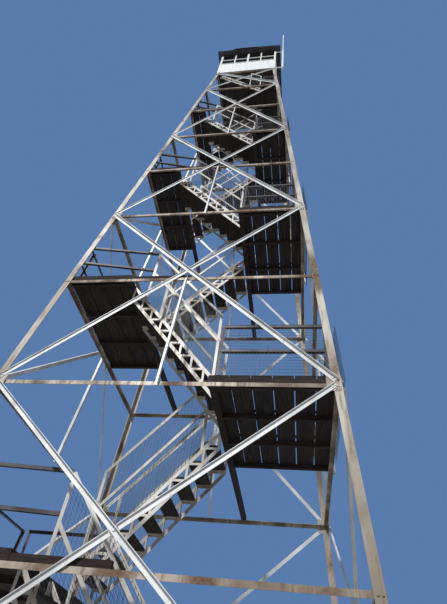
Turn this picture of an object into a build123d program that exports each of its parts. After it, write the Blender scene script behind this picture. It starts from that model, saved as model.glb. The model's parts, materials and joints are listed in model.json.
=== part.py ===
from build123d import *
import math
import os

# Fire lookout tower of steel angles with a small square cab, in millimetres.
# +Z is up, the front face looks along -Y, and the origin is at ground level in the middle of the tower.

# The tower's outline
cab_size = 2190.0
taper_per_metre = 153.9
cab_floor_z = 19600.0
top_storey = 2052.0
storey = 2144.0
storey_count = 8
hanger_levels = (2, 4, 6)
brace_levels = (1, 3, 5, 7)
brace_foot_z = 800.0
footing_height = 250.0
footing_size = 560.0
footing_top_size = 460.0
base_plate_size = 340.0
base_plate_thick = 20.0

# Steel sections
leg_width = 100.0
leg_thick = 10.0
girt_width = 60.0
girt_thick = 6.0
brace_width = 60.0
brace_leg = 50.0
cut_brace_leg = 25.0
brace_thick = 6.0
brace_end_inset = 33.0
brace_end_trim = 40.0
hanger_width = 45.0
hanger_thick = 5.0
gusset_thick = 6.0
gusset_width = 170.0
gusset_height = 230.0
centre_plate_size = 110.0
end_clearance = 8.0
cut_margin = 1.0

# Landings
right_landing_inner_x = 640.0
left_landing_inner_x = -950.0
right_landing_depth = 2250.0
left_landing_depth = 2400.0
bearer_width = 90.0
bearer_depth = 75.0
joist_width = 50.0
joist_count = 4
deck_thick = 38.0
deck_board_width = 235.0
deck_gap = 14.0
deck_leg_clearance = 14.0
left_rim_end_x = 60.0

# Stairs
risers = 9
ground_risers = 11
lane_width = 750.0
lane_gap = 300.0
front_lane_offset = 360.0
top_lane_offset = 150.0
chord_width = 50.0
chord_thick = 6.0
bracket_width = 55.0
bracket_thick = 5.0
bracket_flange = 32.0
tread_thick = 38.0
tread_overhang = 20.0
tread_clearance = 4.0

# Railings
rail_height = 900.0
mid_rail_height = 420.0
rail_width = 40.0
rail_thick = 5.0
right_rail_inset = 80.0
handrail_height = 1190.0
mid_handrail_height = 680.0
handrail_top_setback = 250.0
handrail_foot_setback = 40.0

# Cab
cab_floor_thick = 60.0
floor_beam_width = 60.0
floor_beam_depth = 60.0
floor_beam_count = 4
hatch_step_count = 3
cab_wall_thick = 40.0
cab_panel_height = 1000.0
cab_post_height = 2040.0
cab_post_width = 70.0
mullion_width = 45.0
middle_mullion_width = 70.0
window_count = 4
window_bar_height = 28.0
window_bar_depth = 25.0
head_depth = 70.0
eave_overhang = 165.0
roof_edge_height = 45.0
roof_rise = 330.0
roof_thick = 28.0
roof_peak_size = 120.0

# Antenna
antenna_reach = 272.0
antenna_low_z = 60.0
antenna_top_z = 4230.0
antenna_sleeve_top_z = 2050.0
antenna_sleeve_diameter = 85.0
antenna_whip_diameter = 50.0
bracket_bar = 30.0
bracket_heights = (125.0, 1976.0)

slope = taper_per_metre / 2000.0
tilt = math.degrees(math.atan(slope))
base_z = footing_height + base_plate_thick


def half_width(z):
    """Half of the tower's plan width at a height."""
    return cab_size / 2 + slope * (cab_floor_z - z)


def level_z(level):
    """Height of the top of the girts at a level, counted down from the cab floor."""
    if level == 0:
        return cab_floor_z
    return cab_floor_z - top_storey - storey * (level - 1)


def save(shapes, name):
    """Write one node from its solids."""
    solids = []
    for shape in shapes:
        solids.extend(shape.solids())
    export_step(Compound(children=solids), "parts/" + name + ".step")


def box(low, high):
    """A box between two corners."""
    size = [high[i] - low[i] for i in range(3)]
    centre = [(high[i] + low[i]) / 2 for i in range(3)]
    return Pos(*centre) * Box(*size)


def prism(plane, outline, length):
    """A straight bar with its outline drawn on a plane."""
    face = (plane * Polygon(*outline, align=None)).face()
    return Solid.extrude(face, plane.z_dir * length)


def angle_outline(width, leg, thick, edge, low, outward):
    """The outline of an angle bar: a flat flange, and a leg that stands on one edge of it."""
    near = low
    far = low + thick
    if not outward:
        near = low + thick
        far = low
    tip = near + (leg if outward else -leg)
    a = -edge * width / 2
    b = edge * width / 2
    inner = b - edge * thick
    return [(a, near), (b, near), (b, tip), (inner, tip), (inner, far), (a, far)]


def angle_bar(start, end, normal, width, leg, thick, edge=1, low=0.0, outward=True):
    """An angle bar between two points, its flange square to the normal."""
    start = Vector(*start)
    end = Vector(*end)
    normal = Vector(*normal).normalized()
    along = (end - start).normalized()
    plane = Plane(origin=start, x_dir=normal.cross(along), z_dir=along)
    outline = angle_outline(width, leg, thick, edge, low, outward)
    return prism(plane, outline, (end - start).length)


def flat_bar(start, end, normal, width, thick, low=0.0):
    """A flat bar between two points, its flat side square to the normal."""
    start = Vector(*start)
    end = Vector(*end)
    normal = Vector(*normal).normalized()
    along = (end - start).normalized()
    plane = Plane(origin=start, x_dir=normal.cross(along), z_dir=along)
    half = width / 2
    outline = [(-half, low), (half, low), (half, low + thick), (-half, low + thick)]
    return prism(plane, outline, (end - start).length)


face_normal = (0, -math.cos(math.radians(tilt)), math.sin(math.radians(tilt)))
faces = [("front", 0), ("right", 90), ("back", 180), ("left", 270)]


def on_face(u, z):
    """A point on the front face's outer plane, at a height."""
    return (u, -half_width(z), z)


def turned(shape, angle):
    """The shape of the front face, turned about the tower's axis to another face."""
    return shape.rotate(Axis.Z, angle)


def make_footings():
    """Four concrete piers, each wider at its foot."""
    half = half_width(base_z) - leg_width / 2
    piers = []
    for sx in (-1, 1):
        for sy in (-1, 1):
            foot = Pos(sx * half, sy * half, 0) * Rectangle(footing_size, footing_size)
            top = Pos(sx * half, sy * half, footing_height) * Rectangle(footing_top_size, footing_top_size)
            piers.append(loft([foot.face(), top.face()]))
    return piers


def make_base_plates():
    """A square steel plate under each leg."""
    half = half_width(base_z) - leg_width / 2
    reach = base_plate_size / 2
    plates = []
    for sx in (-1, 1):
        for sy in (-1, 1):
            low = (sx * half - reach, sy * half - reach, footing_height)
            high = (sx * half + reach, sy * half + reach, base_z)
            plates.append(box(low, high))
    return plates


def make_leg(sx, sy):
    """One straight corner leg, an angle with its corner outwards."""
    corner = half_width(base_z)
    top = half_width(cab_floor_z)
    w = leg_width
    t = leg_thick
    outline = [(0, 0), (-w, 0), (-w, -t), (-t, -t), (-t, -w), (0, -w)]
    points = [(sx * (corner + x), sy * (corner + y)) for x, y in outline]
    face = (Pos(0, 0, base_z) * Polygon(*points, align=None)).face()
    run = Vector(sx * (top - corner), sy * (top - corner), cab_floor_z - base_z)
    return Solid.extrude(face, run)


def girt(level, coped):
    """A horizontal angle inside the legs, its flange level on top, cut back at the corners if coped."""
    z = level_z(level)
    reach = half_width(z) - leg_thick - end_clearance
    outer = -half_width(z) + leg_thick / math.cos(math.radians(tilt))
    foot = outer - slope * girt_width
    root = outer + girt_thick
    tip = outer + girt_width
    outline = [
        (outer, z), (tip, z), (tip, z - girt_thick), (root, z - girt_thick),
        (foot + girt_thick, z - girt_width), (foot, z - girt_width),
    ]
    bar = prism(Plane(origin=(-reach, 0, 0), x_dir=(0, 1, 0), z_dir=(1, 0, 0)), outline, 2 * reach)
    if coped:
        flange_end = half_width(z) - leg_thick - girt_width - end_clearance
        for near, far in ((-reach - cut_margin, -flange_end), (flange_end, reach + cut_margin)):
            low = (near, root, z - girt_thick - cut_margin)
            bar = bar - box(low, (far, tip + cut_margin, z + cut_margin))
    return bar


def bay_levels():
    """The heights at which each bay of braces starts and ends, from the top down."""
    nodes = [cab_floor_z - girt_width] + [level_z(level) for level in brace_levels] + [brace_foot_z]
    return list(zip(nodes[:-1], nodes[1:]))


def brace_end(sign, z):
    """The working point of a brace on a leg's flange."""
    return Vector(*on_face(sign * (half_width(z) - brace_end_inset), z))


def crossing(upper, lower):
    """Where the two braces of a bay cross."""
    a = brace_end(1, upper)
    b = brace_end(-1, lower)
    share = a.X / (a.X - b.X)
    return a + (b - a) * share


def brace_whole(sign, upper, lower):
    """The brace that runs through a bay in one piece."""
    a = brace_end(sign, upper)
    b = brace_end(-sign, lower)
    along = (b - a).normalized()
    a = a + along * brace_end_trim
    b = b - along * brace_end_trim
    return [angle_bar(a, b, face_normal, brace_width, brace_leg, brace_thick, -sign, gusset_thick)]


def brace_halves(sign, upper, lower):
    """The brace that is cut at the crossing and bolted to the centre plate there."""
    a = brace_end(sign, upper)
    b = brace_end(-sign, lower)
    centre = crossing(upper, lower)
    along = (b - a).normalized()
    other = (brace_end(sign, lower) - brace_end(-sign, upper)).normalized()
    turn = math.radians(along.get_angle(other))
    half = brace_width / 2
    room = half / math.sin(turn) + half / abs(math.tan(turn)) + end_clearance
    spans = [
        (a + along * brace_end_trim, centre - along * room),
        (centre + along * room, b - along * brace_end_trim),
    ]
    halves = []
    for start, end in spans:
        halves.append(
            angle_bar(start, end, face_normal, brace_width, cut_brace_leg, brace_thick, -sign, gusset_thick)
        )
    return halves


def gussets():
    """Plates on the outside of the front legs' flanges, and one behind each crossing."""
    plates = []
    bays = bay_levels()
    heights = [bays[0][0]] + [lower for upper, lower in bays]
    for z in heights:
        for sign in (-1, 1):
            u = sign * (half_width(z) - gusset_width / 2 - gusset_height * slope / 2)
            half = gusset_height / 2
            top = cab_floor_z - end_clearance
            low_z = z - half
            high_z = min(z + half, top)
            plates.append(
                flat_bar(on_face(u, low_z), on_face(u, high_z), face_normal, gusset_width, gusset_thick)
            )
    for upper, lower in bays:
        centre = crossing(upper, lower)
        half = centre_plate_size / 2
        start = on_face(0, centre.Z - half)
        end = on_face(0, centre.Z + half)
        plates.append(flat_bar(start, end, face_normal, centre_plate_size, gusset_thick))
    return plates


def hangers():
    """Upright angles in the middle of the front face, from a mid girt down to the next main girt."""
    bars = []
    for level in hanger_levels:
        start = on_face(0, level_z(level) - end_clearance)
        end = on_face(0, level_z(level + 1) - girt_width + end_clearance)
        bars.append(
            angle_bar(start, end, face_normal, hanger_width, hanger_width, hanger_thick, 1, -leg_thick)
        )
    return bars


def deck_z(level):
    """Height of the top of a landing's boards."""
    return level_z(level) + bearer_depth + deck_thick


def is_right(level):
    """Landings at odd levels are on the right side, the others on the left."""
    return level % 2 == 1


def landing_span(level):
    """A landing's inner and outer x, and its front and back y."""
    z = deck_z(level)
    reach = half_width(z) - deck_leg_clearance
    front = -reach
    if is_right(level):
        return right_landing_inner_x, reach, front, min(front + right_landing_depth, reach)
    return left_landing_inner_x, -reach, front, min(front + left_landing_depth, reach)


def make_deck(level):
    """The boards of one landing, laid front to back with gaps between them."""
    inner, outer, front, back = landing_span(level)
    sign = 1 if outer > inner else -1
    room = abs(outer - inner)
    count = max(2, round((room + deck_gap) / (deck_board_width + deck_gap)))
    width = (room + deck_gap) / count - deck_gap
    top = deck_z(level)
    boards = []
    for i in range(count):
        near = inner + sign * i * (width + deck_gap)
        far = near + sign * width
        low = (min(near, far), front, top - deck_thick)
        boards.append(box(low, (max(near, far), back, top)))
    return boards


def make_bearers(level):
    """The timbers under one landing: an inner beam from girt to girt, a front rim and the joists."""
    inner, outer, front, back = landing_span(level)
    sign = 1 if outer > inner else -1
    low = level_z(level)
    high = low + bearer_depth
    reach = half_width(low) - leg_thick - end_clearance
    beam_far = inner + sign * bearer_width
    pieces = [box((min(inner, beam_far), -reach, low), (max(inner, beam_far), reach, high))]
    joist_outer = sign * (half_width(high) - leg_thick - end_clearance)
    first = front + 2 * joist_width
    last = back - joist_width
    for i in range(joist_count):
        y = first + (last - first) * i / (joist_count - 1)
        near = (min(beam_far, joist_outer), y, low)
        far = (max(beam_far, joist_outer), y + joist_width, high)
        pieces.append(box(near, far))
    return pieces


def make_rim(level):
    """The front rim beam that lies on the front girt in front of a landing."""
    inner, outer, front, back = landing_span(level)
    low = level_z(level)
    high = low + bearer_depth
    end = inner if is_right(level) else left_rim_end_x
    sign = 1 if outer > inner else -1
    far = outer - sign * leg_width
    return box((min(end, far), front, low), (max(end, far), front + joist_width, high))


def lane_front(upper, lower, back_lane, offset):
    """The y of a flight's front stringer, a fixed distance behind the face at the flight's middle."""
    y = -half_width((upper + lower) / 2) + offset
    if back_lane:
        y = y + lane_width + lane_gap
    return y


flights = [
    ("flight_1", "ground", 8), ("flight_2", 8, 7), ("flight_3", 7, 6), ("flight_4", 6, 5), ("flight_5", 5, 4),
    ("flight_6", 4, 3), ("flight_7", 3, 2), ("flight_8", 2, 1), ("flight_9", 1, "cab"),
]


def flight_plan(lower, upper):
    """Where one flight starts and ends: its heights, its x at the top and bottom, its lane and risers."""
    run = right_landing_inner_x - left_landing_inner_x
    going = run / (risers - 1)
    count = risers
    low_z = 0.0
    if lower == "ground":
        count = ground_risers
    else:
        low_z = deck_z(lower)
    high_z = cab_floor_z + cab_floor_thick if upper == "cab" else deck_z(upper)
    rises_left = lower == "ground" or is_right(lower)
    if rises_left:
        top_x = left_landing_inner_x
        direction = 1
    else:
        top_x = right_landing_inner_x
        direction = -1
    offset = top_lane_offset if upper == "cab" else front_lane_offset
    front = lane_front(high_z, low_z, not rises_left, offset)
    return top_x, direction, high_z, low_z, going, count, front


def make_treads(lower, upper):
    """The wooden treads of one flight, each on its two brackets."""
    top_x, direction, high_z, low_z, going, count, front = flight_plan(lower, upper)
    rise = (high_z - low_z) / count
    near_y = front + chord_thick + tread_clearance
    far_y = front + lane_width - chord_thick - tread_clearance
    treads = []
    for i in range(1, count):
        back_x = top_x + direction * ((i - 1) * going + bracket_thick + tread_clearance)
        nose_x = top_x + direction * (i * going + tread_overhang)
        top = high_z - i * rise
        low = (min(back_x, nose_x), near_y, top - tread_thick)
        treads.append(box(low, (max(back_x, nose_x), far_y, top)))
    return treads


def make_stringer(lower, upper, y, inward):
    """One side of a flight: two sloping chords and the bent brackets between them."""
    top_x, direction, high_z, low_z, going, count, front = flight_plan(lower, upper)
    rise = (high_z - low_z) / count
    seat = tread_thick
    normal = (0, -inward, 0)
    end_x = top_x + direction * (count - 1) * going
    upper_start = (top_x, y, high_z - seat)
    upper_end = (end_x, y, low_z + rise - seat)
    lower_start = (top_x, y, high_z - rise - seat)
    lower_end = (end_x, y, low_z - seat)
    shape = flat_bar(upper_start, upper_end, normal, chord_width, chord_thick, -chord_thick)
    shape = shape + flat_bar(lower_start, lower_end, normal, chord_width, chord_thick, -chord_thick)
    web_low, web_high = sorted((y, y + inward * chord_thick))
    seat_low, seat_high = sorted((y, y + inward * bracket_width))
    for i in range(1, count):
        near_x = top_x + direction * (i - 1) * going
        far_x = near_x + direction * going
        wall_x = near_x + direction * bracket_thick
        flange_x = near_x + direction * bracket_flange
        top = high_z - i * rise - seat
        seat_bar = box(
            (min(near_x, far_x), seat_low, top - bracket_thick), (max(near_x, far_x), seat_high, top)
        )
        wall_bar = box(
            (min(near_x, wall_x), seat_low, top - bracket_thick), (max(near_x, wall_x), seat_high, top + rise)
        )
        seat_flange = box(
            (min(near_x, far_x), web_low, top - bracket_flange), (max(near_x, far_x), web_high, top)
        )
        wall_flange = box(
            (min(near_x, flange_x), web_low, top - bracket_thick),
            (max(near_x, flange_x), web_high, top + rise),
        )
        shape = shape + [seat_bar, wall_bar, seat_flange, wall_flange]
    side = bracket_width + chord_thick
    return shape & box((min(top_x, end_x), y - side, 0), (max(top_x, end_x), y + side, high_z))


def stringers(lower, upper):
    """Both sides of one flight."""
    front = flight_plan(lower, upper)[6]
    return [make_stringer(lower, upper, front, 1), make_stringer(lower, upper, front + lane_width, -1)]


def make_back_railing(start_x, end_x, y, base):
    """An upright railing across the back edge of a landing: an end post at each side and two rails."""
    shape = None
    normal = (0, -1, 0)
    for x in (start_x + rail_width / 2, end_x - rail_width / 2):
        post = angle_bar(
            (x, y, base), (x, y, base + rail_height), normal, rail_width, rail_width, rail_thick, 1, 0, False
        )
        shape = post if shape is None else shape + post
    for height in (rail_height - rail_width / 2, mid_rail_height):
        z = base + height
        rail = angle_bar(
            (start_x, y, z), (end_x, y, z), normal, rail_width, rail_width, rail_thick, 1, 0, True
        )
        shape = shape + rail
    return shape


def make_face_railing(low_u, high_u, base, posts):
    """A railing behind the legs of the front face: two rails bolted to the legs, and its posts."""
    shape = None
    low = -leg_thick - rail_thick
    top = base + rail_height
    for z in (top - rail_width / 2, base + mid_rail_height):
        reach = half_width(z) - leg_thick - end_clearance
        near = max(low_u, -reach)
        far = min(high_u, reach)
        rail = angle_bar(
            on_face(far, z), on_face(near, z), face_normal, rail_width, rail_width, rail_thick, 1, low, False
        )
        shape = rail if shape is None else shape + rail
    foot = base + (leg_thick + rail_thick + rail_width) * math.sin(math.radians(tilt))
    for u in posts:
        post = angle_bar(
            on_face(u, foot), on_face(u, top), face_normal,
            rail_width, rail_width, rail_thick, 1, low - rail_thick, False,
        )
        shape = shape + post
    return shape


def make_slanted_railing(level):
    """The two rails in front of a left landing, from the leg back to the handrail's top post."""
    base = deck_z(level)
    lower = "ground" if level == storey_count else level + 1
    front = flight_plan(lower, level)[6]
    post_x = left_landing_inner_x + handrail_top_setback - rail_width / 2
    rails = []
    for z in (base + rail_height - rail_width / 2, base + mid_rail_height):
        corner = half_width(z + rail_width / 2) - leg_thick
        start = Vector(-corner + rail_width, -corner, z)
        end = Vector(post_x - cut_margin, front - 2 * rail_thick, z)
        normal = (end - start).cross(Vector(0, 0, 1))
        rails.append(
            angle_bar(end, start, normal, rail_width, rail_width, rail_thick, 1, -rail_thick, False)
        )
    return rails


def make_landing_railings(level):
    """Railings on the front, outer and back edges of one landing."""
    inner, outer, front, back = landing_span(level)
    sign = 1 if outer > inner else -1
    base = deck_z(level)
    top = base + rail_height
    side_low = -(half_width(top) - leg_thick - rail_width - 2 * end_clearance)
    side_high = back - rail_width - end_clearance
    side_posts = (side_low + leg_width, (side_low + side_high) / 2, side_high - rail_width)
    if is_right(level):
        near = inner + right_rail_inset
        leg_post = half_width(base) - leg_width - rail_width
        panels = [make_face_railing(near, half_width(base), base, (near + rail_width / 2, leg_post))]
        side = make_face_railing(side_low, side_high, base, side_posts)
        panels.append(turned(side, 90))
    else:
        panels = make_slanted_railing(level)
        side = make_face_railing(-side_high, -side_low, base, [-u for u in side_posts])
        panels.append(turned(side, 270))
    back_y = back - rail_width
    back_reach = half_width(top) - leg_thick - 2 * rail_width - end_clearance
    low_x, high_x = sorted((inner + sign * rail_width, sign * back_reach))
    panels.append(make_back_railing(low_x, high_x, back_y, base))
    return panels


def make_handrail(lower, upper, y, side):
    """The handrail on one side of a flight: a post near each end, a top rail and a mid rail."""
    top_x, direction, high_z, low_z, going, count, front = flight_plan(lower, upper)
    rise = (high_z - low_z) / count
    run = (count - 1) * going
    up = Vector(0, 0, 1)
    out = (0, side, 0)
    top = Vector(top_x, y, high_z - tread_thick)
    slope_down = Vector(direction, 0, -rise / going)
    near = handrail_top_setback
    if upper == "cab":
        room = handrail_height + rail_width + floor_beam_depth + end_clearance
        near = (top.Z + room - cab_floor_z) * going / rise
    ends = [top + slope_down * near, top + slope_down * (run - handrail_foot_setback)]
    shape = None
    for height in (handrail_height, mid_handrail_height):
        start, end = [place + up * height for place in ends]
        rail = flat_bar(start, end, out, rail_width, rail_thick, rail_thick)
        shape = rail if shape is None else shape + rail
    for foot in ends:
        post_top = foot + up * (handrail_height + rail_width / 2)
        shape = shape + flat_bar(foot, post_top, out, rail_width, rail_thick)
    return shape


def handrails(lower, upper):
    """The handrails on both sides of one flight."""
    front = flight_plan(lower, upper)[6]
    return [make_handrail(lower, upper, front, -1), make_handrail(lower, upper, front + lane_width, 1)]


def make_cab_floor():
    """The cab's floor, with the hatch over the top flight."""
    half = cab_size / 2
    floor = box((-half, -half, cab_floor_z), (half, half, cab_floor_z + cab_floor_thick))
    top_x, direction, high_z, low_z, going, count, front = flight_plan(1, "cab")
    low = (left_landing_inner_x, front, cab_floor_z - cut_margin)
    far_x = right_landing_inner_x - hatch_step_count * going
    high = (far_x, front + lane_width, high_z + cut_margin)
    return floor - box(low, high)


def cab_floor_beams():
    """The beams under the cab's floor, from front to back between the girts."""
    top_x, direction, high_z, low_z, going, count, front = flight_plan(1, "cab")
    hatch_back = front + lane_width
    reach = cab_size / 2 - leg_width - end_clearance
    back = cab_size / 2 - leg_thick - girt_width - end_clearance
    beams = []
    for i in range(floor_beam_count):
        x = -reach + (2 * reach - floor_beam_width) * i / (floor_beam_count - 1)
        low = (x, hatch_back + floor_beam_width, cab_floor_z - floor_beam_depth)
        beams.append(box(low, (x + floor_beam_width, back, cab_floor_z)))
    trimmer = box(
        (-reach, hatch_back, cab_floor_z - floor_beam_depth),
        (reach, hatch_back + floor_beam_width, cab_floor_z),
    )
    beams.append(trimmer)
    return beams


def make_cab_wall(sign_y):
    """The lower wall panel of the front or back, between the corner posts."""
    half = cab_size / 2
    inner = half - cab_wall_thick
    y = sorted((sign_y * half, sign_y * inner))
    reach = half - cab_post_width
    base = cab_floor_z + cab_floor_thick
    return box((-reach, y[0], base), (reach, y[1], cab_floor_z + cab_panel_height))


def cab_posts():
    """Four square posts at the corners of the cab."""
    half = cab_size / 2
    base = cab_floor_z + cab_floor_thick
    posts = []
    for sx in (-1, 1):
        for sy in (-1, 1):
            x = sorted((sx * half, sx * (half - cab_post_width)))
            y = sorted((sy * half, sy * (half - cab_post_width)))
            posts.append(box((x[0], y[0], base), (x[1], y[1], cab_floor_z + cab_post_height)))
    return posts


def mullion_spans():
    """The x range of each mullion in the front wall, the middle one wider."""
    room = cab_size - 2 * cab_post_width
    spans = []
    for i in range(1, window_count):
        width = middle_mullion_width if i == window_count // 2 else mullion_width
        x = -room / 2 + room * i / window_count
        spans.append((x - width / 2, x + width / 2))
    return spans


def cab_side_mullions():
    """The mullions over the front wall's panel."""
    half = cab_size / 2
    bars = []
    for near, far in mullion_spans():
        low = (near, -half, cab_floor_z + cab_panel_height)
        bars.append(box(low, (far, -half + cab_wall_thick, cab_floor_z + cab_post_height)))
    return bars


def cab_window_bars():
    """A thin level bar across each opening at the windows' middle height."""
    half = cab_size / 2
    room = cab_size - 2 * cab_post_width
    z = cab_floor_z + (cab_panel_height + cab_post_height) / 2
    spans = mullion_spans()
    starts = [-room / 2] + [far for near, far in spans]
    ends = [near for near, far in spans] + [room / 2]
    depth = (cab_wall_thick - window_bar_depth) / 2
    bars = []
    for start, end in zip(starts, ends):
        low = (start, -half + depth, z - window_bar_height / 2)
        bars.append(box(low, (end, -half + depth + window_bar_depth, z + window_bar_height / 2)))
    return bars


def make_head_frame():
    """The ring of timbers on top of the posts."""
    half = cab_size / 2
    inner = half - cab_post_width
    base = cab_floor_z + cab_post_height
    ring = box((-half, -half, base), (half, half, base + head_depth))
    opening = box((-inner, -inner, base - cut_margin), (inner, inner, base + head_depth + cut_margin))
    return ring - opening


def hip(reach, base, peak_size, peak_z):
    """A low pyramid with a small flat top."""
    foot = (Pos(0, 0, base) * Rectangle(2 * reach, 2 * reach)).face()
    peak = (Pos(0, 0, peak_z) * Rectangle(peak_size, peak_size)).face()
    return loft([foot, peak])


def make_roof():
    """A low hipped roof with an upright edge and a soffit all round, hollow and open to the cab below."""
    base = cab_floor_z + cab_post_height + head_depth
    reach = cab_size / 2 + eave_overhang
    inner = reach - roof_thick
    eave_z = base + roof_edge_height
    edge = box((-reach, -reach, base), (reach, reach, eave_z))
    outside = edge + hip(reach, eave_z, roof_peak_size, eave_z + roof_rise)
    gutter = box((-inner, -inner, base + roof_thick), (inner, inner, eave_z))
    attic = gutter + hip(inner, eave_z, roof_peak_size, eave_z + roof_rise - roof_thick)
    room = cab_size / 2 - cab_post_width
    opening = box((-room, -room, base - cut_margin), (room, room, base + roof_thick + cut_margin))
    return outside - attic - opening


def make_antenna():
    """The antenna: a thick lower tube and a thinner one on top."""
    half = cab_size / 2
    x = half + antenna_reach
    y = -half + cab_post_width / 2
    low = cab_floor_z + antenna_low_z
    sleeve = antenna_sleeve_top_z - antenna_low_z
    whip = antenna_top_z - antenna_sleeve_top_z
    lower = Pos(x, y, low + sleeve / 2) * Cylinder(antenna_sleeve_diameter / 2, sleeve)
    upper = Pos(x, y, low + sleeve + whip / 2) * Cylinder(antenna_whip_diameter / 2, whip)
    return lower + upper


def antenna_brackets():
    """Two level bars from the corner post to the antenna's lower tube."""
    half = cab_size / 2
    y = -half + cab_post_width / 2
    end = half + antenna_reach - antenna_sleeve_diameter / 2
    bars = []
    for height in bracket_heights:
        z = cab_floor_z + height
        low = (half, y - bracket_bar / 2, z - bracket_bar / 2)
        bars.append(box(low, (end, y + bracket_bar / 2, z + bracket_bar / 2)))
    return bars


def main():
    """Build each node and write it."""
    os.makedirs("parts", exist_ok=True)
    save(make_footings(), "footings")
    save(make_base_plates(), "base_plates")
    for name, sx, sy in (
        ("front_left", -1, -1), ("front_right", 1, -1), ("back_left", -1, 1), ("back_right", 1, 1),
    ):
        save([make_leg(sx, sy)], "leg_" + name)
    plates = []
    uprights = []
    for name, angle in faces:
        coped = name in ("right", "left")
        girts = [turned(girt(level, coped), angle) for level in range(storey_count + 1)]
        save(girts, name + "_girts")
        whole = []
        cut = []
        for upper, lower in bay_levels():
            whole.extend(turned(bar, angle) for bar in brace_whole(-1, upper, lower))
            cut.extend(turned(bar, angle) for bar in brace_halves(1, upper, lower))
        save(whole, name + "_braces_falling")
        save(cut, name + "_braces_rising")
        plates.extend(turned(plate, angle) for plate in gussets())
        uprights.extend(turned(bar, angle) for bar in hangers())
    save(plates, "gusset_plates")
    save(uprights, "face_hangers")
    bearers = {"left": [], "right": []}
    railings = {"left": [], "right": []}
    for level in range(1, storey_count + 1):
        side = "right" if is_right(level) else "left"
        save(make_deck(level), "landing_" + str(storey_count + 1 - level) + "_deck")
        bearers[side].extend(make_bearers(level))
        bearers[side].append(make_rim(level))
        railings[side].extend(make_landing_railings(level))
    for side in ("left", "right"):
        save(bearers[side], side + "_landing_bearers")
        save(railings[side], side + "_landing_railings")
    lanes = {"front": [], "back": []}
    rails = {"front": [], "back": []}
    for name, lower, upper in flights:
        lane = "front" if flight_plan(lower, upper)[1] == 1 else "back"
        save(make_treads(lower, upper), name + "_treads")
        lanes[lane].extend(stringers(lower, upper))
        rails[lane].extend(handrails(lower, upper))
    for lane in ("front", "back"):
        save(lanes[lane], lane + "_lane_stringers")
        save(rails[lane], lane + "_lane_handrails")
    save([make_cab_floor()], "cab_floor")
    save(cab_floor_beams(), "cab_floor_beams")
    mullions = []
    bars = []
    for name, angle in faces:
        save([turned(make_cab_wall(-1), angle)], "cab_wall_" + name)
        mullions.extend(turned(bar, angle) for bar in cab_side_mullions())
        bars.extend(turned(bar, angle) for bar in cab_window_bars())
    save(cab_posts(), "cab_corner_posts")
    save(mullions, "cab_mullions")
    save(bars, "cab_window_bars")
    save([make_head_frame()], "cab_head_frame")
    save([make_roof()], "cab_roof")
    save([make_antenna()], "antenna_pole")
    save(antenna_brackets(), "antenna_brackets")


main()
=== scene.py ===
"""The dressed lookout tower: bolts, wire mesh, rafters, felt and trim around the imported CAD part.

Lengths are in metres. The tower stands on z = 0 with its front face towards -y.
"""

import json
import math

import bpy
from mathutils import Matrix, Vector


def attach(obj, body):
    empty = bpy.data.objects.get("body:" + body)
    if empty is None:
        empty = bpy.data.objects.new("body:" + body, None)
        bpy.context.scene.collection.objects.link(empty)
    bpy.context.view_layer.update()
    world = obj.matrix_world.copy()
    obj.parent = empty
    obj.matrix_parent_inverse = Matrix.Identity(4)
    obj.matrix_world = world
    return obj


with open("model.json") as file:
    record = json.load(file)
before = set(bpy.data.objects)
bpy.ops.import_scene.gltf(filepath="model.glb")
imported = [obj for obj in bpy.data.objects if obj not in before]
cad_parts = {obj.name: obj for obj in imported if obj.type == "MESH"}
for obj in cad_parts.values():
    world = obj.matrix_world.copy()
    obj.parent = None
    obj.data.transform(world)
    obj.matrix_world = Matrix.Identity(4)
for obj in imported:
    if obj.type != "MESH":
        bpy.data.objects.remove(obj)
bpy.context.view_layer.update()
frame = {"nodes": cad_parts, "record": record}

# The photograph's height in pixels and the camera that took it
IMAGE_HEIGHT = 604
FOCAL_PIXELS = 454.84
SENSOR = 36.0
CAMERA_PLACE = (1.730, -6.756, 1.449)
YAW = math.radians(12.874)
PITCH = math.radians(44.967)
ROLL = math.radians(8.271)
CLIP_START = 0.05
CLIP_END = 200.0

# The tower's driving dimensions. Levels are counted down from the cab floor
TOP_HALF = 1.095
SLOPE = 0.07695
FLOOR_Z = 19.6
TOP_STOREY = 2.052
STOREY = 2.144
LEVELS = 8
BRACE_FOOT_Z = 0.8
TILT = math.atan(SLOPE)

# How far the front face is turned to become each face of the tower
FRONT = 0.0
RIGHT = math.pi / 2
BACK = math.pi
LEFT = 3 * math.pi / 2
FACES = (FRONT, RIGHT, BACK, LEFT)
FACE_OUT = Vector((0, -math.cos(TILT), math.sin(TILT)))
UP = Vector((0, 0, 1))

# Steel sections
LEG_WIDTH = 0.100
GIRT_WIDTH = 0.060
BRACE_END_INSET = 0.033
GUSSET_THICK = 0.006
BRACE_THICK = 0.006
BASE_TOP = 0.270
FOOT_INSET = 0.050

# Bolts. Steps and rises are measured from the point where the braces meet the leg
BOLT_SIDES = 6
BOLT_RADIUS = 0.013
BOLT_HEIGHT = 0.010
SMALL_BOLT_RADIUS = 0.009
SMALL_BOLT_HEIGHT = 0.006
LEG_BOLT_INSETS = (0.030, 0.070)
LEG_BOLT_RISES = (-0.085, -0.055, 0.055, 0.085)
BRACE_BOLT_STEPS = (0.060, 0.100)
ANCHOR_REACH = 0.125
ANCHOR_RADIUS = 0.018
ANCHOR_HEIGHT = 0.028

# Landings
DECK_RISE = 0.113
RIGHT_INNER_X = 0.640
LEFT_INNER_X = -0.950
RIGHT_DEPTH = 2.250
DECK_CLEARANCE = 0.014
RAIL_HEIGHT = 0.900
RAIL_WIDTH = 0.040
RIGHT_RAIL_INSET = 0.080

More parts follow.
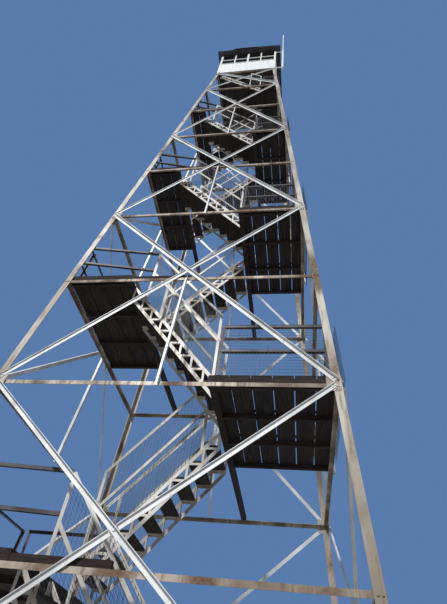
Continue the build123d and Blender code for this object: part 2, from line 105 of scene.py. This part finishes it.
# Stairs
RISERS = 9
GROUND_RISERS = 11
LANE_WIDTH = 0.750
LANE_GAP = 0.300
FRONT_LANE_OFFSET = 0.360
TOP_LANE_OFFSET = 0.150
TREAD_THICK = 0.038
CHORD_WIDTH = 0.050
HANDRAIL_HEIGHT = 1.190
HANDRAIL_TOP_SETBACK = 0.250
HANDRAIL_FOOT_SETBACK = 0.040
FLOOR_BEAM_DEPTH = 0.060
END_CLEARANCE = 0.008

# Wire mesh. Each panel stands so far in front of its face's plane
WIRE_PITCH = 0.050
WIRE = 0.0026
FRONT_WIRE_OUT = -0.008
SIDE_WIRE_OUT = 0.066

# Cab
CAB_HALF = 1.095
CAB_FLOOR_THICK = 0.060
CAB_PANEL = 1.000
CAB_POST = 2.040
CAB_POST_WIDTH = 0.070
HEAD_DEPTH = 0.070
WINDOWS = 4
SILL_WIDTH = 0.075
SILL_THICK = 0.022
BATTEN_WIDTH = 0.032
BATTEN_THICK = 0.006

# Roof. Its reach and peak are half widths
ROOF_REACH = CAB_HALF + 0.165
ROOF_PEAK = 0.060
ROOF_EDGE = 0.045
ROOF_RISE = 0.330
ROOF_THICK = 0.028
EAVE_Z = FLOOR_Z + CAB_POST + HEAD_DEPTH + ROOF_EDGE
RAFTER_WIDTH = 0.040
RAFTER_DEPTH = 0.065
RAFTER_COUNT = 5

# Roofing felt: its grid, its edge, and where the front edge is torn back at the left
FELT_THICK = 0.005
FELT_LIFT = 0.004
FELT_COLUMNS = 48
FELT_ROWS = 10
FELT_OVERHANG = 0.004
FELT_BULGE = 0.045
FELT_TEAR_X = -0.82
FELT_TEAR_WIDTH = 0.55
FELT_FLATTENING = 0.60

# Waves in the felt: a height, radians a metre and, along an eave, where the wave starts
EAVE_WAVES = ((0.003, 9.0, 0.0), (0.002, 23.0, 1.0))
RIPPLE_HEIGHT = 0.002
RIPPLE_ACROSS = 14.0
RIPPLE_OUT = 9.0

# Colours are linear red, green and blue
BLACK = (0.0, 0.0, 0.0)
WHITE = (1.0, 1.0, 1.0)

# Steels: light and dark zinc, rust, and how high the pattern is where the rust starts
STEELS = {
    "leg_steel": ((0.56, 0.51, 0.42), (0.26, 0.21, 0.15), (0.15, 0.075, 0.04), 0.54),
    "girt_steel": ((0.44, 0.38, 0.30), (0.19, 0.14, 0.095), (0.13, 0.06, 0.032), 0.49),
    "brace_steel": ((0.74, 0.74, 0.72), (0.52, 0.52, 0.50), (0.22, 0.15, 0.10), 0.62),
    "stair_steel": ((0.64, 0.61, 0.55), (0.40, 0.37, 0.31), (0.22, 0.13, 0.085), 0.56),
    "rail_steel": ((0.075, 0.07, 0.07), (0.03, 0.028, 0.03), (0.05, 0.028, 0.02), 0.58),
}
STEEL_METALLIC = 0.15
PATCH_EDGE = 0.14
RUN_EDGE = 0.15
RUN_DEPTH = (0.6, 0.6, 0.6)

# Timbers: light and dark grain, and the axis that the grain follows
ALONG_X = 0
ALONG_Y = 1
TIMBERS = {
    "deck_timber": ((0.046, 0.034, 0.029), (0.014, 0.011, 0.010), ALONG_Y),
    "beam_timber": ((0.050, 0.034, 0.028), (0.015, 0.011, 0.010), ALONG_X),
    "tread_timber": ((0.058, 0.044, 0.037), (0.018, 0.014, 0.012), ALONG_Y),
    "cab_floor_timber": ((0.075, 0.050, 0.038), (0.022, 0.014, 0.011), ALONG_Y),
}
TIMBER_SPECULAR = 0.25
BOARD_LIGHT = 0.80
BOARD_DARK = 0.75
# Tops of the timbers: a lighter colour, partly wood faded by the sun and partly painted light from
# above, leaving the sides and undersides darker as painted shade
FADED_AND_LIT_TOP_LIGHT = (0.17, 0.145, 0.12)
FADED_AND_LIT_TOP_DARK = (0.055, 0.045, 0.037)

# Paints: clean and dirty colours, and roughness
PAINTS = {
    "cab_paint": ((0.86, 0.86, 0.84), (0.74, 0.73, 0.69), 0.45),
    "antenna_white": ((0.86, 0.86, 0.85), (0.70, 0.70, 0.68), 0.35),
}
PAINT_SMOOTHER = 0.10
PAINT_ROUGHER = 0.15

# Felt and concrete: light and dark colours
FELT_COLOURS = ((0.070, 0.064, 0.068), (0.022, 0.021, 0.026))
CONCRETE_COLOURS = ((0.42, 0.40, 0.36), (0.26, 0.25, 0.22))
MATT = 0.9

# Stage and light
FLOOR_REACH = 60.0
FLOOR_COLOUR = (0.45, 0.45, 0.44)
SKY_COLOUR = (0.10, 0.20, 0.41)
FILL_COLOUR = (0.72, 0.80, 0.92)
FILL_STRENGTH = 0.42
SUN_ENERGY = 3.0
SUN_ANGLE = math.radians(6)
SUN_HEIGHT = math.radians(42)
SUN_SIDE = math.radians(-24)


# Materials


def new_material(name):
    """An empty material, with its tree, its shader and the object's own coordinates in metres."""
    material = bpy.data.materials.new(name)
    material.use_nodes = True
    tree = material.node_tree
    shader = tree.nodes["Principled BSDF"]
    coords = tree.nodes.new("ShaderNodeTexCoord").outputs["Object"]
    return material, tree, shader, coords


def noise(tree, coords, scale, detail, stretch=(1.0, 1.0, 1.0)):
    """A noise pattern, stretched along the axes."""
    mapping = tree.nodes.new("ShaderNodeMapping")
    mapping.inputs["Scale"].default_value = stretch
    tree.links.new(coords, mapping.inputs["Vector"])
    texture = tree.nodes.new("ShaderNodeTexNoise")
    texture.inputs["Scale"].default_value = scale
    texture.inputs["Detail"].default_value = detail
    tree.links.new(mapping.outputs["Vector"], texture.inputs["Vector"])
    return texture.outputs["Fac"]


def drawn_out(axis, along, across):
    """The stretch of a pattern that is drawn out along one axis."""
    stretch = [across] * 3
    stretch[axis] = along
    return stretch


def ramp(tree, value, low_colour, high_colour, low, high):
    """A colour that goes from one to another as a value grows from low to high."""
    node = tree.nodes.new("ShaderNodeValToRGB")
    node.color_ramp.elements[0].position = low
    node.color_ramp.elements[1].position = high
    node.color_ramp.elements[0].color = (*low_colour, 1.0)
    node.color_ramp.elements[1].color = (*high_colour, 1.0)
    tree.links.new(value, node.inputs["Fac"])
    return node.outputs["Color"]


def mask(tree, value, low, high, most=WHITE):
    """A share that grows from nothing where a value is low to the most where it is high."""
    return ramp(tree, value, BLACK, most, low, high)


def mixed(tree, share, first, second):
    """Two colours mixed by a share."""
    node = tree.nodes.new("ShaderNodeMix")
    node.data_type = "RGBA"
    tree.links.new(share, node.inputs["Factor"])
    tree.links.new(first, node.inputs["A"])
    tree.links.new(second, node.inputs["B"])
    return node.outputs["Result"]


def higher(tree, first, second):
    """The higher of two values."""
    node = tree.nodes.new("ShaderNodeMath")
    node.operation = "MAXIMUM"
    tree.links.new(first, node.inputs[0])
    tree.links.new(second, node.inputs[1])
    return node.outputs["Value"]


def facing_up(tree):
    """How far a surface faces up: 0 on walls and undersides, 1 on tops."""
    geometry = tree.nodes.new("ShaderNodeNewGeometry")
    normal = tree.nodes.new("ShaderNodeSeparateXYZ")
    tree.links.new(geometry.outputs["True Normal"], normal.inputs["Vector"])
    return mask(tree, normal.outputs["Z"], low=0.4, high=0.8)


def coloured(tree, shader, colour):
    """The surface's colour from a pattern."""
    tree.links.new(colour, shader.inputs["Base Color"])


def roughened(tree, shader, pattern, smooth, rough):
    """Roughness that goes from smooth to rough as a pattern grows."""
    node = tree.nodes.new("ShaderNodeMapRange")
    node.inputs["To Min"].default_value = smooth
    node.inputs["To Max"].default_value = rough
    tree.links.new(pattern, node.inputs["Value"])
    tree.links.new(node.outputs["Result"], shader.inputs["Roughness"])


def bumped(tree, shader, height, strength, distance):
    """Relief on the surface from a height pattern."""
    node = tree.nodes.new("ShaderNodeBump")
    node.inputs["Strength"].default_value = strength
    node.inputs["Distance"].default_value = distance
    tree.links.new(height, node.inputs["Height"])
    tree.links.new(node.outputs["Normal"], shader.inputs["Normal"])


def steel(name, light, dark, rust, rust_from):
    """Weathered galvanised steel: cloudy zinc with patches and runs of rust."""
    material, tree, shader, coords = new_material(name)
    clouds = noise(tree, coords, scale=3.0, detail=6.0, stretch=(1.0, 1.0, 0.35))
    zinc = ramp(tree, clouds, dark, light, low=0.38, high=0.66)
    speckles = noise(tree, coords, scale=30.0, detail=4.0)
    stain = ramp(tree, speckles, rust, dark, low=0.35, high=0.7)
    patches = noise(tree, coords, scale=2.2, detail=10.0, stretch=(1.0, 1.0, 0.6))
    runs = noise(tree, coords, scale=22.0, detail=5.0, stretch=(1.0, 1.0, 0.10))
    rusted = higher(
        tree,
        mask(tree, patches, low=rust_from, high=rust_from + PATCH_EDGE),
        mask(tree, runs, low=rust_from, high=rust_from + RUN_EDGE, most=RUN_DEPTH),
    )
    coloured(tree, shader, mixed(tree, rusted, zinc, stain))
    shader.inputs["Metallic"].default_value = STEEL_METALLIC
    roughened(tree, shader, rusted, smooth=0.50, rough=0.85)
    pits = noise(tree, coords, scale=60.0, detail=3.0)
    bumped(tree, shader, pits, strength=0.15, distance=0.002)
    return material


def timber(name, light, dark, grain_along):
    """Weathered timber with its grain along one axis, its tops painted lighter than its sides and
    undersides: partly wood faded by the sun, partly painted light from above and painted shade
    beneath.
    """
    material, tree, shader, coords = new_material(name)
    fine = drawn_out(grain_along, along=0.6, across=9.0)
    grain = noise(tree, coords, scale=6.0, detail=8.0, stretch=fine)
    plain = ramp(tree, grain, dark, light, low=0.35, high=0.68)
    deep_dark = [BOARD_DARK * c for c in dark]
    deep_light = [BOARD_LIGHT * c for c in light]
    deep = ramp(tree, grain, deep_dark, deep_light, low=0.3, high=0.75)
    faded_and_lit_tops = ramp(tree, grain, FADED_AND_LIT_TOP_DARK, FADED_AND_LIT_TOP_LIGHT, low=0.3, high=0.72)
    board_wide = drawn_out(grain_along, along=0.15, across=5.2)
    tones = noise(tree, coords, scale=1.0, detail=1.0, stretch=board_wide)
    boards = mixed(tree, mask(tree, tones, low=0.4, high=0.6), plain, deep)
    # Upward faces take the lighter colour: partly wood faded by the sun, partly painted light from
    # above, with the darker sides and undersides as painted shade
    coloured(tree, shader, mixed(tree, facing_up(tree), boards, faded_and_lit_tops))
    shader.inputs["Specular IOR Level"].default_value = TIMBER_SPECULAR
    roughened(tree, shader, grain, smooth=0.95, rough=0.75)
    bumped(tree, shader, grain, strength=0.35, distance=0.004)
    return material


def paint(name, clean, dirty, roughness):
    """Brushed paint with faint dirt that runs down."""
    material, tree, shader, coords = new_material(name)
    dirt = noise(tree, coords, scale=4.0, detail=6.0, stretch=(2.5, 2.5, 0.3))
    coloured(tree, shader, ramp(tree, dirt, clean, dirty, low=0.45, high=0.75))
    brushed = noise(tree, coords, scale=40.0, detail=2.0)
    roughened(tree, shader, brushed, roughness - PAINT_SMOOTHER, roughness + PAINT_ROUGHER)
    bumped(tree, shader, brushed, strength=0.08, distance=0.002)
    return material


def felt(name, light, dark):
    """Mineral roofing felt: fine granules over faint worn patches."""
    material, tree, shader, coords = new_material(name)
    patches = noise(tree, coords, scale=2.5, detail=8.0)
    worn = ramp(tree, patches, dark, light, low=0.35, high=0.7)
    granules = noise(tree, coords, scale=160.0, detail=3.0)
    speckled = ramp(tree, granules, dark, light, low=0.42, high=0.62)
    coloured(tree, shader, mixed(tree, granules, worn, speckled))
    shader.inputs["Roughness"].default_value = MATT
    bumped(tree, shader, granules, strength=0.3, distance=0.003)
    return material


def concrete(name, light, dark):
    """Cast concrete with stains and pores."""
    material, tree, shader, coords = new_material(name)
    stains = noise(tree, coords, scale=5.0, detail=8.0)
    coloured(tree, shader, ramp(tree, stains, dark, light, low=0.35, high=0.65))
    shader.inputs["Roughness"].default_value = MATT
    pores = noise(tree, coords, scale=70.0, detail=6.0)
    bumped(tree, shader, pores, strength=0.3, distance=0.004)
    return material


materials = {slot: steel(slot, *look) for slot, look in STEELS.items()}
materials.update({slot: timber(slot, *look) for slot, look in TIMBERS.items()})
materials.update({slot: paint(slot, *look) for slot, look in PAINTS.items()})
materials["roof_sheet"] = felt("roof_sheet", *FELT_COLOURS)
materials["concrete"] = concrete("concrete", *CONCRETE_COLOURS)

slots = {part["node"]: part["material_slot"] for part in frame["record"]["subparts"]}
for node_name, node_object in frame["nodes"].items():
    node_object.data.materials.clear()
    node_object.data.materials.append(materials[slots[node_name]])


# Meshes


def new_object(name, data):
    """A new object in the scene."""
    made = bpy.data.objects.new(name, data)
    bpy.context.scene.collection.objects.link(made)
    return made


class Pile:
    """The points and faces of one mesh, added form by form and turned to one side of the tower."""

    def __init__(self):
        self.points = []
        self.faces = []
        self.turn = Matrix.Identity(3)

    def face_to(self, angle):
        """Turn what is added next from the front face to another face."""
        self.turn = Matrix.Rotation(angle, 3, "Z")

    def add(self, points, faces):
        """Add a form whose faces count its own points from 0."""
        first = len(self.points)
        self.points.extend(self.turn @ Vector(p) for p in points)
        self.faces.extend([first + i for i in face] for face in faces)

    def prism(self, foot_ring, top_ring):
        """A closed form between two rings of points that run anticlockwise seen from the top."""
        count = len(foot_ring)
        faces = [list(reversed(range(count))), list(range(count, 2 * count))]
        for i in range(count):
            j = (i + 1) % count
            faces.append([i, j, j + count, i + count])
        self.add(foot_ring + top_ring, faces)

    def bar(self, start, end, normal, width, thick):
        """A straight bar between two points, its width across the normal."""
        start = Vector(start)
        end = Vector(end)
        along = (end - start).normalized()
        side = along.cross(Vector(normal)).normalized() * width / 2
        out = side.cross(along).normalized() * thick / 2
        corners = [side + out, out - side, -side - out, side - out]
        self.prism([start + c for c in corners], [end + c for c in corners])

    def wire(self, start, end, normal):
        """One wire of a mesh that faces along the normal."""
        self.bar(start, end, normal, WIRE, WIRE)

    def bolt(self, place, normal, radius, height):
        """A hexagonal bolt head or nut that stands on a surface."""
        place = Vector(place)
        normal = Vector(normal).normalized()
        side = normal.orthogonal().normalized()
        other = normal.cross(side)
        ring = []
        for i in range(BOLT_SIDES):
            angle = 2 * math.pi * i / BOLT_SIDES
            ring.append(side * math.cos(angle) * radius + other * math.sin(angle) * radius)
        self.prism([place + r for r in ring], [place + r + normal * height for r in ring])

    def make(self, name, slot):
        """The finished object, riding on the tower."""
        mesh = bpy.data.meshes.new(name)
        mesh.from_pydata([tuple(p) for p in self.points], [], self.faces)
        mesh.update()
        mesh.materials.append(materials[slot])
        piece = new_object(name, mesh)
        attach(piece, "root")


# Legs and braces


def half_width(z):
    """Half of the tower's plan width at a height."""
    return TOP_HALF + SLOPE * (FLOOR_Z - z)


def level_z(level):
    """Height of the top of the girts at a level, counted down from the cab floor."""
    if level == 0:
        return FLOOR_Z
    return FLOOR_Z - TOP_STOREY - STOREY * (level - 1)


def on_face(u, z, out=0.0):
    """A point on the front face's outer plane, or so far in front of it."""
    return Vector((u, -half_width(z), z)) + FACE_OUT * out


def brace_levels():
    """The heights at which the braces meet the legs, from the cab floor down."""
    odd_levels = [level_z(level) for level in range(1, LEVELS, 2)]
    return [FLOOR_Z - GIRT_WIDTH, *odd_levels, BRACE_FOOT_Z]


def brace_end(sign, z):
    """The working point of a brace on a leg's flange."""
    return on_face(sign * (half_width(z) - BRACE_END_INSET), z)


def leg_bolts():
    """Bolts through the legs' flanges at each gusset plate and each girt between two plates."""
    pile = Pile()
    highest = FLOOR_Z - LEG_WIDTH / 2
    rows = [(z + rise, GUSSET_THICK) for z in brace_levels() for rise in LEG_BOLT_RISES]
    rows = [(z, out) for z, out in rows if z <= highest]
    rows += [(level_z(level) - GIRT_WIDTH / 2, 0.0) for level in range(2, LEVELS + 1, 2)]
    for angle in FACES:
        pile.face_to(angle)
        for z, out in rows:
            for sign in (-1, 1):
                for inset in LEG_BOLT_INSETS:
                    place = on_face(sign * (half_width(z) - inset), z, out)
                    pile.bolt(place, FACE_OUT, BOLT_RADIUS, BOLT_HEIGHT)
    pile.make("leg_bolts", "leg_steel")


def brace_bolts():
    """Bolts at the ends of the braces and where they cross."""
    pile = Pile()
    out = FACE_OUT * (GUSSET_THICK + BRACE_THICK)
    levels = brace_levels()
    for angle in FACES:
        pile.face_to(angle)
        for upper, lower in zip(levels[:-1], levels[1:]):
            places = []
            for sign in (-1, 1):
                top = brace_end(sign, upper)
                foot = brace_end(-sign, lower)
                along = (foot - top).normalized()
                for step in BRACE_BOLT_STEPS:
                    places += [top + along * step, foot - along * step]
            # Both braces of a bay pass the middle of the face at the same height
            places.append(top + (foot - top) * (top.x / (top.x - foot.x)))
            for place in places:
                pile.bolt(place + out, FACE_OUT, BOLT_RADIUS, BOLT_HEIGHT)
    pile.make("brace_bolts", "brace_steel")


def anchor_nuts():
    """The nuts on the anchors of the base plates."""
    pile = Pile()
    middle = half_width(BASE_TOP) - FOOT_INSET
    for sx in (-1, 1):
        for sy in (-1, 1):
            for dx in (-ANCHOR_REACH, ANCHOR_REACH):
                for dy in (-ANCHOR_REACH, ANCHOR_REACH):
                    place = (sx * middle + dx, sy * middle + dy, BASE_TOP)
                    pile.bolt(place, UP, ANCHOR_RADIUS, ANCHOR_HEIGHT)
    pile.make("anchor_nuts", "leg_steel")


# Landings and stairs


def is_right(level):
    """Whether a level's landing is on the right of the tower."""
    return level % 2 == 1


def deck_z(level):
    """Height of the top of a landing's boards."""
    return level_z(level) + DECK_RISE


def wire_panel(pile, low_u, high_u, base, out):
    """Wire mesh in the plane of the front face, from a deck up to its top rail."""
    columns = round((high_u - low_u) / WIRE_PITCH)
    for i in range(columns + 1):
        u = low_u + (high_u - low_u) * i / columns
        pile.wire(on_face(u, base, out), on_face(u, base + RAIL_HEIGHT, out), FACE_OUT)
    rows = round(RAIL_HEIGHT / WIRE_PITCH)
    for i in range(rows + 1):
        z = base + RAIL_HEIGHT * i / rows
        pile.wire(on_face(low_u, z, out), on_face(high_u, z, out), FACE_OUT)


def landing_mesh():
    """Wire mesh on the front and outer railings of the landings on the right."""
    pile = Pile()
    for level in filter(is_right, range(1, LEVELS + 1)):
        base = deck_z(level)
        corner = half_width(base + RAIL_HEIGHT)
        inner = RIGHT_INNER_X + RIGHT_RAIL_INSET
        back = RIGHT_DEPTH - (half_width(base) - DECK_CLEARANCE)
        pile.face_to(FRONT)
        wire_panel(pile, inner, corner - LEG_WIDTH, base, FRONT_WIRE_OUT)
        pile.face_to(RIGHT)
        wire_panel(pile, -corner, back - 2 * RAIL_WIDTH, base, SIDE_WIRE_OUT)
    pile.make("landing_mesh", "rail_steel")


def flights():
    """The levels that each flight joins, from the ground up."""
    between = [(level, level - 1) for level in range(LEVELS, 1, -1)]
    return [("ground", LEVELS), *between, (1, "cab")]


def riser_count(lower):
    """How many risers the flight up from a level has."""
    return GROUND_RISERS if lower == "ground" else RISERS


def flight(lower, upper):
    """The top and the foot of a flight's front stringer, at the undersides of its end treads."""
    count = riser_count(lower)
    going = (RIGHT_INNER_X - LEFT_INNER_X) / (RISERS - 1)
    low_z = 0.0 if lower == "ground" else deck_z(lower)
    high_z = FLOOR_Z + CAB_FLOOR_THICK if upper == "cab" else deck_z(upper)
    rise = (high_z - low_z) / count
    front = -half_width((high_z + low_z) / 2)
    front += TOP_LANE_OFFSET if upper == "cab" else FRONT_LANE_OFFSET
    if lower == "ground" or is_right(lower):
        top_x = LEFT_INNER_X
        foot_x = top_x + (count - 1) * going
    else:
        top_x = RIGHT_INNER_X
        foot_x = top_x - (count - 1) * going
        front += LANE_WIDTH + LANE_GAP
    top = Vector((top_x, front, high_z - TREAD_THICK))
    foot = Vector((foot_x, front, low_z + rise - TREAD_THICK))
    return top, foot


def flight_mesh():
    """Wire mesh between the stringers and the handrails of each flight."""
    pile = Pile()
    across = (0, 1, 0)
    rows = round(HANDRAIL_HEIGHT / WIRE_PITCH)
    for lower, upper in flights():
        top, foot = flight(lower, upper)
        run = abs(foot.x - top.x)
        setback = HANDRAIL_TOP_SETBACK
        if upper == "cab":
            # The top flight's handrail ends below the cab's floor beams
            room = HANDRAIL_HEIGHT + RAIL_WIDTH + FLOOR_BEAM_DEPTH + END_CLEARANCE
            setback = (top.z + room - FLOOR_Z) * run / (top.z - foot.z)
        top, foot = top.lerp(foot, setback / run), foot.lerp(top, HANDRAIL_FOOT_SETBACK / run)
        columns = round(abs(foot.x - top.x) / WIRE_PITCH)
        for y in (0.0, LANE_WIDTH):
            shift = Vector((0, y, 0))
            for i in range(columns + 1):
                place = top + (foot - top) * i / columns + shift
                pile.wire(place + UP * CHORD_WIDTH / 2, place + UP * HANDRAIL_HEIGHT, across)
            for i in range(1, rows + 1):
                lift = UP * HANDRAIL_HEIGHT * i / rows + shift
                pile.wire(top + lift, foot + lift, across)
    pile.make("flight_mesh", "rail_steel")


def stair_bolts():
    """Small bolts where each bracket meets the two chords of a stringer."""
    pile = Pile()
    for lower, upper in flights():
        top, foot = flight(lower, upper)
        goings = riser_count(lower) - 1
        step = (foot - top) / goings
        for i in range(1, goings):
            for y, out in ((0.0, -1), (LANE_WIDTH, 1)):
                for drop in (0.0, step.z):
                    place = top + step * i + Vector((0, y, drop))
                    pile.bolt(place, (0, out, 0), SMALL_BOLT_RADIUS, SMALL_BOLT_HEIGHT)
    pile.make("stair_bolts", "stair_steel")


# Cab and roof


def cab_trim():
    """A sill under each window and battens over the joints of the wall panels."""
    pile = Pile()
    reach = CAB_HALF - CAB_POST_WIDTH
    window = 2 * reach / WINDOWS
    sill_y = -CAB_HALF + SILL_WIDTH / 2 - SILL_THICK
    sill_z = FLOOR_Z + CAB_PANEL + SILL_THICK / 2
    batten_y = -CAB_HALF - BATTEN_THICK / 2
    for angle in FACES:
        pile.face_to(angle)
        for i in range(WINDOWS):
            low = -reach + window * i + CAB_POST_WIDTH / 2
            high = -reach + window * (i + 1) - CAB_POST_WIDTH / 2
            pile.bar((low, sill_y, sill_z), (high, sill_y, sill_z), UP, SILL_WIDTH, SILL_THICK)
        for u in (-reach, 0.0, reach):
            start = (u, batten_y, FLOOR_Z + CAB_FLOOR_THICK)
            end = (u, batten_y, FLOOR_Z + CAB_PANEL)
            pile.bar(start, end, (0, 1, 0), BATTEN_WIDTH, BATTEN_THICK)
    pile.make("cab_trim", "cab_paint")


def roof_rafters():
    """Rafters under the roof, from each wall's head up to the hips."""
    pile = Pile()
    wall = CAB_HALF - CAB_POST_WIDTH
    slope = ROOF_RISE / (ROOF_REACH - ROOF_THICK - ROOF_PEAK)
    eave = EAVE_Z - ROOF_THICK - (RAFTER_DEPTH + ROOF_THICK) / 2
    for angle in FACES:
        pile.face_to(angle)
        for i in range(RAFTER_COUNT):
            u = -wall + 2 * wall * (i + 0.5) / RAFTER_COUNT
            hip = max(abs(u), ROOF_PEAK) + RAFTER_WIDTH
            low = (u, -wall, eave + slope * (ROOF_REACH - wall))
            high = (u, -hip, eave + slope * (ROOF_REACH - hip))
            pile.bar(low, high, UP, RAFTER_WIDTH, RAFTER_DEPTH)
    pile.make("roof_rafters", "cab_floor_timber")


def smooth_step(value):
    """A soft step from 0 to 1 as a value goes from 0 to 1."""
    t = min(max(value, 0.0), 1.0)
    return t * t * (3 - 2 * t)


def felt_reach(angle, u):
    """How far the felt comes out from the middle of the roof, along the eave of one face."""
    reach = ROOF_REACH + FELT_OVERHANG
    for height, turns, start in EAVE_WAVES:
        reach += height * math.sin(turns * u + start)
    if angle == FRONT:
        bulged = smooth_step((u - FELT_TEAR_X) / FELT_TEAR_WIDTH)
        beyond = max(u - FELT_TEAR_X - FELT_TEAR_WIDTH, 0.0)
        reach += FELT_BULGE * bulged * (1.0 - FELT_FLATTENING * beyond)
    return reach


def felt_points(angle, lift):
    """One side of the felt on a slope, row by row from the eave up to the peak."""
    slope = ROOF_RISE / (ROOF_REACH - ROOF_PEAK)
    points = []
    for j in range(FELT_ROWS + 1):
        row_half = ROOF_REACH + (ROOF_PEAK - ROOF_REACH) * j / FELT_ROWS
        for i in range(FELT_COLUMNS + 1):
            share = -1.0 + 2.0 * i / FELT_COLUMNS
            reach = felt_reach(angle, share * ROOF_REACH)
            out = reach + (ROOF_PEAK - reach) * j / FELT_ROWS
            u = share * row_half
            ripple = RIPPLE_HEIGHT * math.sin(RIPPLE_ACROSS * u) * math.sin(RIPPLE_OUT * out)
            points.append((u, -out, EAVE_Z + slope * (ROOF_REACH - out) + lift + ripple))
    return points


def sheet_faces(columns, rows):
    """The faces of a closed sheet, whose points are its lower side's and then its upper side's."""
    row = columns + 1
    layer = row * (rows + 1)
    faces = []
    for j in range(rows):
        for i in range(columns):
            a = j * row + i
            faces.append([a + row, a + row + 1, a + 1, a])
            faces.append([layer + a, layer + a + 1, layer + a + row + 1, layer + a + row])
    edges = []
    for i in range(columns):
        far = rows * row + i
        edges += [(i, i + 1), (far + 1, far)]
    for j in range(rows):
        near = j * row
        far = near + columns
        edges += [(near + row, near), (far, far + row)]
    faces += [[a, b, layer + b, layer + a] for a, b in edges]
    return faces


def roof_felt():
    """Roofing felt over the four slopes and the peak, torn back at the left of the front eave."""
    pile = Pile()
    faces = sheet_faces(FELT_COLUMNS, FELT_ROWS)
    for angle in FACES:
        pile.face_to(angle)
        lower = felt_points(angle, FELT_LIFT)
        upper = felt_points(angle, FELT_LIFT + FELT_THICK)
        pile.add(lower + upper, faces)
    cap_z = EAVE_Z + ROOF_RISE + FELT_LIFT + FELT_THICK / 2
    pile.bar((-ROOF_PEAK, 0, cap_z), (ROOF_PEAK, 0, cap_z), UP, 2 * ROOF_PEAK, FELT_THICK)
    pile.make("roof_felt", "roof_sheet")


# Stage, light and camera


def make_floor():
    """A plain pale floor under the tower."""
    corners = [(-1, -1), (1, -1), (1, 1), (-1, 1)]
    points = [(x * FLOOR_REACH, y * FLOOR_REACH, 0) for x, y in corners]
    mesh = bpy.data.meshes.new("floor")
    mesh.from_pydata(points, [], [[0, 1, 2, 3]])
    material = bpy.data.materials.new("floor")
    material.use_nodes = True
    shader = material.node_tree.nodes["Principled BSDF"]
    shader.inputs["Base Color"].default_value = (*FLOOR_COLOUR, 1.0)
    shader.inputs["Roughness"].default_value = MATT
    mesh.materials.append(material)
    new_object("floor", mesh)


def make_world():
    """A plain blue sky behind the tower, and a pale light of its own that falls on it."""
    world = bpy.data.worlds.new("world")
    bpy.context.scene.world = world
    world.use_nodes = True
    tree = world.node_tree
    fill = tree.nodes["Background"]
    fill.inputs["Color"].default_value = (*FILL_COLOUR, 1.0)
    fill.inputs["Strength"].default_value = FILL_STRENGTH
    seen = tree.nodes.new("ShaderNodeBackground")
    seen.inputs["Color"].default_value = (*SKY_COLOUR, 1.0)
    path = tree.nodes.new("ShaderNodeLightPath")
    share = path.outputs["Is Camera Ray"]
    for ray in ("Is Glossy Ray", "Is Transmission Ray"):
        share = higher(tree, share, path.outputs[ray])
    mix = tree.nodes.new("ShaderNodeMixShader")
    tree.links.new(share, mix.inputs[0])
    tree.links.new(fill.outputs["Background"], mix.inputs[1])
    tree.links.new(seen.outputs["Background"], mix.inputs[2])
    tree.links.new(mix.outputs["Shader"], tree.nodes["World Output"].inputs["Surface"])


def make_sun():
    """One soft sun from behind the camera."""
    data = bpy.data.lights.new("sun", "SUN")
    data.energy = SUN_ENERGY
    data.angle = SUN_ANGLE
    sun = new_object("sun", data)
    sun.rotation_euler = (math.pi / 2 - SUN_HEIGHT, 0, SUN_SIDE)


def make_camera():
    """The camera at the photograph's place, looking up at the tower."""
    data = bpy.data.cameras.new("camera")
    # The sensor's width lies along the frame's longer side, which is its height
    data.sensor_width = SENSOR
    data.lens = FOCAL_PIXELS / IMAGE_HEIGHT * SENSOR
    data.clip_start = CLIP_START
    data.clip_end = CLIP_END
    ahead = Vector((-math.sin(YAW), math.cos(YAW), 0.0))
    forward = ahead * math.cos(PITCH) + UP * math.sin(PITCH)
    level = Vector((math.cos(YAW), math.sin(YAW), 0.0))
    right = math.cos(ROLL) * level + math.sin(ROLL) * level.cross(forward)
    turn = Matrix((right, right.cross(forward), -forward)).transposed().to_4x4()
    camera = new_object("camera", data)
    camera.matrix_world = Matrix.Translation(CAMERA_PLACE) @ turn
    bpy.context.scene.camera = camera


leg_bolts()
brace_bolts()
anchor_nuts()
landing_mesh()
flight_mesh()
stair_bolts()
cab_trim()
roof_rafters()
roof_felt()

make_floor()
make_world()
make_sun()
make_camera()
bpy.context.scene.view_settings.view_transform = "Standard"
